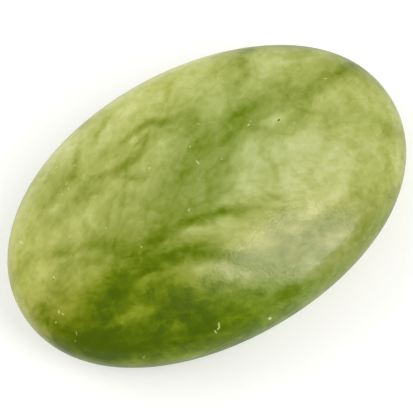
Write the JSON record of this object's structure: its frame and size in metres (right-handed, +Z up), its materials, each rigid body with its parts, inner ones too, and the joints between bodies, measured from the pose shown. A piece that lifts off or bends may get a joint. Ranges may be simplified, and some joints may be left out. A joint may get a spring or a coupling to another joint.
{
  "type": "jade palm stone",
  "caption": "Polished oval jade stone, a thick smooth pillow shape with a taller dome above than below, lying on a small flat spot.",
  "frame": {"origin": "under the middle of the stone, on the plane of the flat spot that it rests on", "axes": "+X along the stone's length, towards its slightly thicker end; +Y across its width; +Z up through its thickness, away from the surface that it lies on"},
  "size_m": [0.06, 0.0396, 0.017],
  "materials": {
    "polished_jade": "polished"
  },
  "bodies": {
    "root": {"jade_stone": "polished_jade"}
  },
  "joints": []
}
